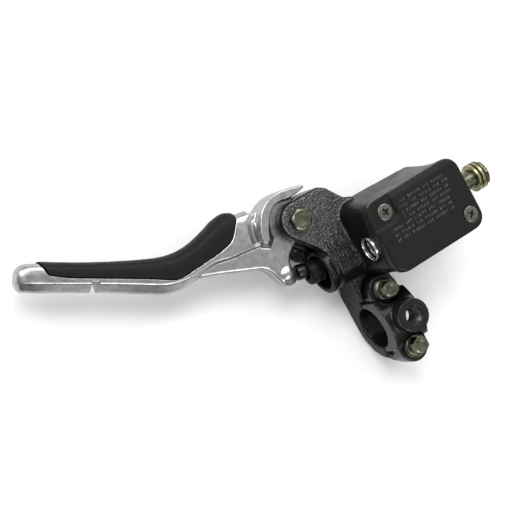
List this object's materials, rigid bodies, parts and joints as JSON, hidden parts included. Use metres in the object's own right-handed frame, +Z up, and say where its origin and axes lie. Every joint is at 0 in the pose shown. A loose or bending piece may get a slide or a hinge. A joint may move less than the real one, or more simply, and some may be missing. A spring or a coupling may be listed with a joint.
{
  "type": "hydraulic brake master cylinder with lever",
  "caption": "Left-hand handlebar hydraulic brake master cylinder with cast-in reservoir, split clamp with mirror boss, and a pivoting lever with a rubber grip.",
  "frame": {"origin": "centre of the handlebar bore, in the plane of the two clamp bolts", "axes": "+X along the handlebar towards the hose bolt, +Y forwards away from the rider, +Z up out of the reservoir's lid"},
  "size_m": [0.2485, 0.1401, 0.0548],
  "materials": {
    "black_paint": "gloss, wrinkled on top",
    "lid_paint": "satin",
    "bare_aluminium": "satin cast",
    "olive_zinc": "olive zinc plate",
    "steel": "bright",
    "black_steel": "black oxide",
    "rubber": "matte",
    "bronze": "plain",
    "glass": "clear",
    "anodised": "anodised",
    "grey_plastic": "matte"
  },
  "bodies": {
    "root": {"master_cylinder_body": "black_paint", "clamp_cap": "black_paint", "clamp_bolt_front": "olive_zinc", "clamp_bolt_rear": "olive_zinc", "clamp_washer_front": "olive_zinc", "clamp_washer_rear": "olive_zinc", "reservoir_cap": "lid_paint", "cap_screw_left": "steel", "cap_screw_right": "steel", "diaphragm": "rubber", "diaphragm_plate": "grey_plastic", "splash_baffle": "steel", "sight_glass_bezel": "steel", "sight_glass_lens": "glass", "sight_glass_seal": "rubber", "pivot_bolt": "olive_zinc", "pivot_nut": "olive_zinc", "return_spring": "steel", "stop_washer": "steel", "circlip": "steel", "banjo_bolt": "olive_zinc", "banjo_washer_1": "bronze", "banjo_washer_2": "bronze"},
    "lever": {"lever": "bare_aluminium", "lever_rubber_grip": "rubber", "pivot_bush": "bronze"},
    "piston": {"piston": "anodised", "primary_cup": "rubber", "secondary_cup": "rubber"},
    "push_rod": {"push_rod": "black_steel", "dust_boot": "rubber"}
  },
  "joints": [
    {"name": "lever_pivot", "type": "hinge", "parent": "root", "child": "lever", "pos_m": [-0.0227, 0.0678, 0], "axis": [0, 0, 1], "range_deg": [0, 20], "stiffness_Nm_per_rad": 0.6, "springref_deg": -28.65},
    {"name": "piston_slide", "type": "slide", "parent": "root", "child": "piston", "axis": [1, 0, 0], "range_m": [0, 0.0092], "deforming": ["return_spring"]},
    {"name": "push_rod_swing", "type": "hinge", "parent": "piston", "child": "push_rod", "pos_m": [-0.005, 0.0387, 0], "axis": [0, 0, 1], "range_deg": [0, 7]}
  ],
  "couplings": [
    {"joint": "piston_slide", "follows": "lever_pivot", "m_per_rad": 0.02604},
    {"joint": "push_rod_swing", "follows": "lever_pivot", "ratio": 0.3455}
  ]
}
